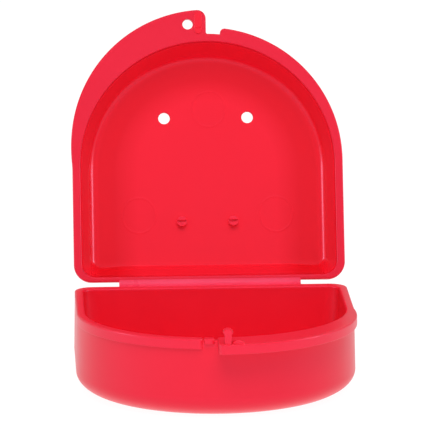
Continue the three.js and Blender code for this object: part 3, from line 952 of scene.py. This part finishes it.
@dataclass
class Latch:
    """The catch tooth between the tray's flanges, the springy post and its stop."""

    tray: Tray
    tooth_x: float = -3.6
    tooth_width: float = 3.1
    tooth_height: float = 1.6
    tooth_proud: float = 0.8
    bridge_drop: float = 0.6
    post_x: float = 1.6
    neck_half_width: float = 1.05
    foot_half_width: float = 0.9
    neck_height: float = 2.8
    head_half_width: float = 1.5
    head_height: float = 1.6
    head_shoulder: float = 0.4
    post_depth: float = 3.2
    stop_x: float = 4.65
    stop_width: float = 3.7
    stop_height: float = 1.0
    stop_depth: float = 2.4
    front_margin: float = 0.5
    finish: Finish = LIT_BAND_PLASTIC

    def strip(self, low_x: float, high_x: float, proud: float) -> np.ndarray:
        """Outline of the plain rim between two x values, standing out by `proud`."""
        xs = np.linspace(low_x, high_x, 9)
        outer = [[x, PLAN.hollow_reach(x, PLAN.rim_wall + proud)] for x in xs]
        inner = [[x, PLAN.hollow_reach(x, -0.01)] for x in xs]
        return np.array(outer + inner[::-1])

    def tooth(self) -> bpy.types.Object:
        """The catch tooth on its piece of rim."""
        skin = Skin()
        tray = self.tray
        bridge = evenly(self.strip(tray.notch_left - 0.6, tray.notch_right + 0.6, -0.02), 0.4)
        under = RIM_LEVEL - tray.rim_thickness - 0.3
        skin.plate([Edge(bridge, 0.15, 0.05)], RIM_LEVEL - self.bridge_drop, under, margin=0.05)
        half = self.tooth_width / 2
        outline = self.strip(self.tooth_x - half, self.tooth_x + half, self.tooth_proud)
        sides = [outline[:9], outline[8:10], outline[9:], np.vstack([outline[-1], outline[0]])]
        path = evenly(join_rounded(sides, [0.8] * 4), 0.3)
        skin.plate([Edge(path, 0.4, 0.3)], RIM_LEVEL, RIM_LEVEL - self.tooth_height, margin=0.04)
        return skin.piece("catch_tooth", TRAY.place, self.finish)

    def post_outline(self) -> np.ndarray:
        """Front view of the post: a tapering stem and a round head."""
        widest = self.neck_height + self.head_shoulder
        turn = np.linspace(0, math.pi, 33)
        crown = self.head_height - self.head_shoulder
        head = np.column_stack(
            [self.head_half_width * np.cos(turn), widest + crown * np.sin(turn)]
        )
        sink = -0.4
        right = np.array([[self.foot_half_width, sink], [self.neck_half_width, self.neck_height]])
        slope = np.array([[self.neck_half_width, self.neck_height], head[0]])
        left = right[::-1] * [-1, 1]
        slope_left = slope[::-1] * [-1, 1]
        foot = np.array([[-self.foot_half_width, sink], [self.foot_half_width, sink]])
        parts = [right, slope, head, slope_left, left, foot]
        foot_bend, neck_bend, head_bend = 0.3, 0.2, 0.35
        bends = [foot_bend, neck_bend, head_bend]
        joined = join_rounded(parts, bends + bends[::-1])
        return evenly(joined + [self.post_x, 0], 0.25)

    def post(self) -> bpy.types.Object:
        """The springy latch post."""
        skin = Skin()
        front = PLAN.edge_reach(self.post_x, self.tray.right_flange) - self.front_margin
        skin.plate([Edge(self.post_outline(), 0.18, 0.18)], 0.0, -self.post_depth, margin=0.03)
        return skin.piece("spring_post", TRAY.upright(front), self.finish)

    def stop(self) -> bpy.types.Object:
        """The low round stop beside the post."""
        skin = Skin()
        turn = np.linspace(0, math.pi, 33)
        half = self.stop_width / 2
        dome = np.column_stack([half * np.cos(turn), self.stop_height * np.sin(turn)])
        sink = -1.0
        left_side = np.array([[-half, 0.0], [-half, sink]])
        foot = np.array([[-half, sink], [half, sink]])
        right_side = np.array([[half, sink], [half, 0.0]])
        joined = join_rounded([dome, left_side, foot, right_side], [0.0, 0.0, 0.5, 0.5])
        path = evenly(joined + [self.stop_x, 0], 0.25)
        edge_x = self.stop_x + half
        front = PLAN.edge_reach(edge_x, self.tray.right_flange) - self.front_margin
        skin.plate([Edge(path, 0.3, 0.3)], 0.0, -self.stop_depth, margin=0.04)
        return skin.piece("post_stop", TRAY.upright(front), self.finish)

    def build(self) -> None:
        """Builds the latch's pieces and puts them on their bodies."""
        tooth = self.tooth()
        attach(tooth, TRAY.body)
        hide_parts("tray_catch_tooth")
        LOG.info("catch tooth built")
        post = self.post()
        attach(post, "post")
        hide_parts("latch_post")
        LOG.info("spring post built")
        stop = self.stop()
        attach(stop, TRAY.body)
        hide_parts("latch_stop")
        LOG.info("post stop built")


# ---------------------------------------------------------------- lid


@dataclass
class Lid:
    """The shallow half: a leaning wall, a soft shoulder, a flat panel and the rim with its tab."""

    rim_thickness: float = 2.2
    rear_rim: float = 1.6
    wall: float = 1.5
    shoulder_depth: float = 7.4
    shoulder_inset: float = 3.3
    panel_depth: float = 9.2
    panel_inset: float = 14.5
    bend_reach: float = 1.5
    rear_share: float = 0.12
    tab_flange: float = 10.05
    right_flange: float = 4.5
    vent_radius: float = 1.8
    vent_offset: float = 12.9
    vent_reach: float = 52.8
    tab_edge_x: float = 0.25
    tab_corner: float = 2.8
    lanyard_radius: float = 1.6
    lanyard_x: float = -5.4
    lanyard_inset: float = 4.2
    notch_width: float = 4.3
    notch_corner: float = 1.65
    edge_round: float = 0.45
    tuck: float = 0.4  # how far the wall's top is buried in the rim
    hollow_start: float = 0.3  # rim's rounded edge to the top of the shell's hollow
    finish: Finish = LID_PLASTIC

    def hollow(self) -> list[tuple[float, float, float]]:
        """The hollow's section.

        Returns:
            Rows of inset from the rim's inner edge, the same at the rear, and depth.
        """
        foot = np.array([self.shoulder_inset, self.shoulder_depth])
        lean = foot / np.linalg.norm(foot)
        reach = self.bend_reach
        section = [lean * share * (np.linalg.norm(foot) - reach) for share in np.linspace(0, 1, 9)]
        slope = []
        for share in np.linspace(0, 1, 25):
            inset = self.shoulder_inset + (self.panel_inset - self.shoulder_inset) * share
            fall = self.panel_depth - self.shoulder_depth
            slope.append([inset, self.shoulder_depth + fall * (1 - (1 - share) ** 2)])
        slope = np.array(slope)
        near = point_along(slope, reach)
        first = section[-1]
        for share in np.linspace(0, 1, 10)[1:]:
            bend = first * (1 - share) ** 2 + foot * 2 * share * (1 - share) + near * share**2
            section.append(bend)
        beyond = length_along(slope) > reach + 0.1
        section += list(slope[beyond])
        rows = []
        for inset, depth in section:
            past = max(0.0, inset - self.shoulder_inset)
            rear = min(inset, self.shoulder_inset) + past * self.rear_share
            rows.append((float(inset), float(rear), float(depth)))
        return rows

    def shell(self) -> bpy.types.Object:
        """The lid's wall, shoulder and panel, with its two vents."""
        skin = Skin()
        rear = PLAN.rear_edge + self.rear_rim
        hollow = self.hollow()
        hidden = self.edge_round + self.hollow_start
        inner = [
            skin.ring(PLAN.outline(-inset - SEAM, rear + behind + SEAM), RIM_LEVEL - depth)
            for inset, behind, depth in hollow
            if depth > hidden
        ]
        deepening = (self.panel_depth + self.wall) / self.panel_depth
        outer = [
            skin.ring(
                PLAN.outline(self.wall - inset, rear + behind - self.wall),
                RIM_LEVEL - depth * deepening,
            )
            for inset, behind, depth in hollow
            if depth * deepening > self.rim_thickness - self.tuck
        ]
        tuck = skin.ring(PLAN.outline(0.6, rear - 0.6), RIM_LEVEL - self.rim_thickness / 2)
        skin.strips([*inner[::-1], tuck, *outer])
        top_panel = RIM_LEVEL - self.panel_depth
        low_panel = RIM_LEVEL - self.panel_depth * deepening
        upper, lower = [inner[-1]], [outer[-1]]
        for hand in (-1, 1):
            hole = circle(hand * self.vent_offset, self.vent_reach, self.vent_radius)
            rings = [
                skin.ring(moved_out(hole, inset), level)
                for inset, level in edge_profile(top_panel, low_panel, 0.2, 0.2, 0.15)
            ]
            skin.strips(rings)
            upper.append(rings[0])
            lower.append(rings[-1])
        skin.cap(upper)
        skin.cap(lower)
        return skin.piece("lid_shell", LID.place, self.finish)

    def rim_outline(self) -> np.ndarray:
        """The rim's outer edge, with the pull tab and the notch beside it."""
        notch_right = self.tab_edge_x + self.notch_width
        left = PLAN.rim_side(-1, self.tab_flange, self.tab_edge_x)
        right = PLAN.rim_side(1, self.right_flange, notch_right)
        outer = np.vstack([left[::-1], right[1:]])
        xs = np.linspace(notch_right, self.tab_edge_x, 9)
        floor = np.array([[x, PLAN.hollow_reach(x, PLAN.rim_wall)] for x in xs])
        step = np.vstack([outer[-1], floor[0]])
        tab_end = np.vstack([floor[-1], outer[0]])
        reaches = [self.tab_corner, self.notch_corner, 0.2, 0.45]
        return evenly(join_rounded([outer, step, floor, tab_end], reaches), 0.6)

    def lanyard_reach(self) -> float:
        """Reach of the lanyard hole's centre."""
        return PLAN.edge_reach(self.lanyard_x, self.tab_flange) - self.lanyard_inset

    def rim(self) -> bpy.types.Object:
        """The rim with its flanges, tab and lanyard hole."""
        skin = Skin()
        hollow = evenly(PLAN.outline(0.0, PLAN.rear_edge + self.rear_rim), 0.6)
        lanyard = circle(self.lanyard_x, self.lanyard_reach(), self.lanyard_radius)
        edges = [
            Edge(self.rim_outline(), self.edge_round, 0.3),
            Edge(hollow, self.edge_round, 0.05, hole=True),
            Edge(lanyard, 0.25, 0.25, hole=True),
        ]
        skin.plate(edges, RIM_LEVEL, RIM_LEVEL - self.rim_thickness, margin=0.12)
        return skin.piece("lid_rim", LID.place, LIT_RIM_PLASTIC)

    def build(self) -> None:
        """Builds the lid's shell and rim and puts them on their body."""
        shell = self.shell()
        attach(shell, LID.body)
        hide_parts("lid_body")
        LOG.info("lid shell built")
        rim = self.rim()
        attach(rim, LID.body)
        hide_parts("lid_flange_tab", "lid_flange_right", "lid_hinge_leaf")
        LOG.info("lid rim built")


@dataclass
class LidFittings:
    """The small pieces on the lid: the grip pad on the tab and the two slotted studs."""

    lid: Lid
    pad_width: float = 2.55
    pad_edge_gap: float = 1.1
    pad_margin: float = 0.6
    pad_proud: float = 0.25
    pip_radius: float = 0.3
    pip_spacing: float = 0.9
    stud_radius: float = 1.6
    stud_height: float = 1.6
    stud_offset: float = 8.0
    stud_reach: float = 20.4
    stud_slot_width: float = 0.6
    stud_slot_depth: float = 0.8
    finish: Finish = RED_PLASTIC

    def pad(self) -> bpy.types.Object:
        """The slot-shaped grip pad with its two pips."""
        skin = Skin()
        x = self.lid.tab_edge_x - self.pad_edge_gap - self.pad_width / 2
        low = PLAN.hollow_reach(x, PLAN.rim_wall)
        high = PLAN.edge_reach(x, self.lid.tab_flange) - self.pad_margin
        path = evenly(slot_path(x, low, high, self.pad_width / 2), 0.3)
        top = RIM_LEVEL + self.pad_proud
        skin.plate([Edge(path, 0.24, 0.05)], top, RIM_LEVEL - 0.3, margin=0.08)
        for hand in (-1, 1):
            pip_x = x + hand * self.pip_spacing / 2
            rings = []
            for turn in np.linspace(0, math.pi / 2, 6)[:-1]:
                ring = circle(pip_x, low + 2.1, self.pip_radius * math.cos(turn), 16)
                rings.append(skin.ring(ring, top - 0.05 + 0.35 * math.sin(turn)))
            skin.strips(rings)
            skin.cap([rings[-1]])
            skin.cap([rings[0]])
        return skin.piece("grip_pad", LID.place, self.finish)

    def studs(self) -> bpy.types.Object:
        """The two studs, each with a slot across its end."""
        skin = Skin()
        half = self.stud_slot_width / 2
        cut = math.asin(half / self.stud_radius)
        turn = np.linspace(cut, math.pi - cut, 25)
        moon = np.column_stack([self.stud_radius * np.cos(turn), self.stud_radius * np.sin(turn)])
        foot = -0.4
        floor = self.stud_height - self.stud_slot_depth
        whole = circle(0.0, 0.0, self.stud_radius)
        skin.plate([Edge(whole, 0.05, 0.05)], floor, foot, margin=0.1)
        for hand in (-1, 1):
            arc = moon * [1, hand]
            flat = np.vstack([arc[-1], arc[0]])
            path = evenly(join_rounded([arc, flat], [0.6, 0.6]), 0.15)
            edge = Edge(path, 0.2, 0.02)
            skin.plate([edge], self.stud_height, floor - 0.2, margin=0.03)
        floor_level = RIM_LEVEL - self.lid.panel_depth
        turned = Matrix.Rotation(math.radians(LID.turn_deg), 3, "X")

        def place(points: np.ndarray) -> np.ndarray:
            """Turns the stud to stand out of the lid's panel."""
            return points @ np.array(turned).T * MM

        pattern = skin.piece("stud", place, self.finish)
        spots = [[x, self.stud_reach, floor_level] for x in (-self.stud_offset, self.stud_offset)]
        ends = LID.place(np.array(spots))
        row = Repeat(first=tuple(ends[0]), step=tuple(ends[1] - ends[0]), count=2)
        # painted light: the studs take the band's paler colour, so their ends read as lit
        return row.make(pattern, "lid_studs", LIT_BAND_PLASTIC)

    def build(self) -> None:
        """Builds the pad and the studs and puts them on the lid."""
        pad = self.pad()
        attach(pad, LID.body)
        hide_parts("tab_grip_pad")
        LOG.info("grip pad built")
        studs = self.studs()
        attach(studs, LID.body)
        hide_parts("lid_stud_left", "lid_stud_right")
        LOG.info("lid studs built")


# ---------------------------------------------------------------- hinge


@dataclass
class HingeWeb:
    """The thin strip that joins the rear edges of the two rims and flexes on the hinge axis."""

    root_reach: float = 1.6
    root_depth: float = 0.31
    root_thickness: float = 0.62
    film_thickness: float = 0.42
    steps: int = 24
    finish: Finish = LIT_WEB_PLASTIC

    def section(self) -> tuple[np.ndarray, np.ndarray]:
        """The web's two faces in the standing case.

        Returns:
            The upper and lower face, as rows of y and z in millimetres.
        """
        level = RIM_LEVEL - self.root_depth
        ends = []
        for half in (TRAY, LID):
            reach = np.array([[0.0, self.root_reach, level], [0.0, 0.35, level * 0.85]])
            ends.append(half.place(reach)[:, 1:] / MM)
        (a, a_near), (b, b_near) = ends
        share = np.linspace(0, 1, self.steps + 1)[:, None]
        line = cubic(a, a_near, b_near, b, share)
        ahead = np.gradient(line, axis=0)
        ahead /= np.linalg.norm(ahead, axis=1)[:, None]
        across = np.column_stack([-ahead[:, 1], ahead[:, 0]])
        thin = np.sin(share * math.pi) ** 2
        thickness = self.root_thickness + (self.film_thickness - self.root_thickness) * thin
        return line + across * thickness / 2, line - across * thickness / 2

    def web(self) -> bpy.types.Object:
        """The web as a closed strip along the hinge."""
        upper, lower = self.section()
        loop = np.vstack([upper, lower[::-1]])
        half = PLAN.hinge_half_length
        skin = Skin()
        rings = []
        for x, shrink in ((-half, 0.75), (-half + 0.12, 1.0), (half - 0.12, 1.0), (half, 0.75)):
            if shrink == 1.0 and x > 0:
                for inner in np.linspace(-half + 0.5, half - 0.5, 60):
                    rings.append(skin.ring(loop, inner))
            middle = (upper + lower) / 2
            tight = np.vstack([middle, middle[::-1]])
            rings.append(skin.ring(tight + (loop - tight) * shrink, x))
        skin.strips(rings)
        count = self.steps + 1
        for ring in (rings[0], rings[-1]):
            for k in range(count - 1):
                a, b = ring[k], ring[k + 1]
                c, d = ring[2 * count - 2 - k], ring[2 * count - 1 - k]
                skin.faces.append((int(a), int(b), int(c), int(d)))

        def place(points: np.ndarray) -> np.ndarray:
            """Lays the section's y and z across the case and its length along x."""
            return points[:, [2, 0, 1]] * MM

        return skin.piece("hinge_web", place, self.finish)

    def build(self) -> None:
        """Builds the web in its open shape between the two halves."""
        web = self.web()
        ends = [half.place(np.array([[0.0, 1.0, RIM_LEVEL]]))[0] for half in (TRAY, LID)]
        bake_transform(web)
        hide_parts("hinge_film")
        LOG.info("hinge web built")


# ---------------------------------------------------------------- studio


@dataclass(frozen=True)
class Lamp:
    """A soft square lamp that shines at the middle of the case."""

    name: str
    place: tuple[float, float, float]
    size: float
    power: float
    mirrored: bool = True
    spread: bool = True

    def build(self, target: Vector) -> None:
        """Adds the lamp.

        Args:
            target: the point that it faces.
        """
        light = bpy.data.lights.new(self.name, "AREA")
        light.shape = "SQUARE"
        light.size = self.size
        light.energy = self.power
        lamp = add_object(self.name, light)
        lamp.location = self.place
        lamp.rotation_euler = (target - lamp.location).to_track_quat("-Z", "Y").to_euler()
        lamp.visible_glossy = self.mirrored
        lamp.visible_diffuse = self.spread


@dataclass
class Studio:
    """A pale floor, soft light and the camera in front of the case."""

    floor_half: float = 8.0
    floor_glow: float = 0.96
    world_strength: float = 0.53
    distance: float = 1571.9
    elevation_deg: float = 11.07
    turn_deg: float = 2.475
    roll_deg: float = 0.34
    aim_right: float = 1.525
    aim_up: float = 21.146
    lens: float = 428.5
    lamps: tuple[Lamp, ...] = (
        Lamp("top lamp", (0.0, -0.9, 1.5), 1.2, 16.5, mirrored=False),
        Lamp("left lamp", (-1.6, -0.2, 0.5), 0.3, 8.0, spread=False),
        Lamp("right lamp", (1.6, -0.2, 0.5), 0.3, 8.0, spread=False),
        Lamp("front lamp", (0.1, -2.2, 1.1), 1.4, 2.6, mirrored=False),
    )

    def floor(self) -> None:
        """A wide pale floor."""
        mesh = bpy.data.meshes.new("floor")
        half = self.floor_half
        corners = [(-half, -half, 0), (half, -half, 0), (half, half, 0), (-half, half, 0)]
        mesh.from_pydata(corners, [], [(0, 1, 2, 3)])
        material = bpy.data.materials.new("pale floor")
        desk = cleared_desk(material)
        shader = desk.add(
            "ShaderNodeBsdfPrincipled",
            {},
            {
                "Base Color": Colour.PALE.value,
                "Roughness": 0.9,
                "Specular IOR Level": 0.1,
                "Emission Color": Colour.WHITE.value,
                "Emission Strength": self.floor_glow,
            },
        )
        desk.add("ShaderNodeOutputMaterial", {}, {"Surface": shader.out()})
        mesh.materials.append(material)
        floor = add_object("floor", mesh)

    def light(self) -> None:
        """An even pale surround and the lamps."""
        world = bpy.data.worlds.new("surround")
        bpy.context.scene.world = world
        desk = cleared_desk(world)
        inputs = {"Color": Colour.WHITE.value, "Strength": self.world_strength}
        glow = desk.add("ShaderNodeBackground", {}, inputs)
        desk.add("ShaderNodeOutputWorld", {}, {"Surface": glow.out()})
        for lamp in self.lamps:
            lamp.build(Vector((0.0, 0.01, 0.05)))

    def camera(self) -> None:
        """The camera, a little to the left of the middle and slightly above."""
        turn, lift = math.radians(self.turn_deg), math.radians(self.elevation_deg)
        ahead = Vector(
            (math.cos(lift) * math.sin(turn), math.cos(lift) * math.cos(turn), -math.sin(lift))
        )
        right = Vector((math.cos(turn), -math.sin(turn), 0.0))
        roll = Matrix.Rotation(math.radians(self.roll_deg), 3, ahead)
        right = roll @ right
        up = right.cross(ahead)
        hinge = Vector((0.0, TRAY.axis_y, TRAY.axis_height))
        place = hinge + right * self.aim_right + up * self.aim_up - ahead * self.distance
        data = bpy.data.cameras.new("camera")
        data.sensor_width = 36.0
        data.lens = self.lens
        data.clip_start = 0.05
        data.clip_end = 100.0
        camera = add_object("camera", data)
        axes = Matrix((right, up, -ahead)).transposed()
        camera.matrix_world = Matrix.Translation(place * MM) @ axes.to_4x4()
        bpy.context.scene.camera = camera

    def build(self) -> None:
        """Sets the studio up."""
        self.floor()
        self.light()
        self.camera()
        bpy.context.scene.view_settings.view_transform = "Standard"
        LOG.info("studio ready")


# ---------------------------------------------------------------- the case


def main() -> None:
    """Builds the case around its frame, piece by piece."""
    logging.basicConfig(level=logging.INFO, format="%(name)s: %(message)s")
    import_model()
    tray = Tray()
    lid = Lid()
    tray.build()
    Latch(tray).build()
    lid.build()
    LidFittings(lid).build()
    HingeWeb().build()
    Studio().build()
    bpy.context.view_layer.update()


if __name__ == "__main__":
    main()
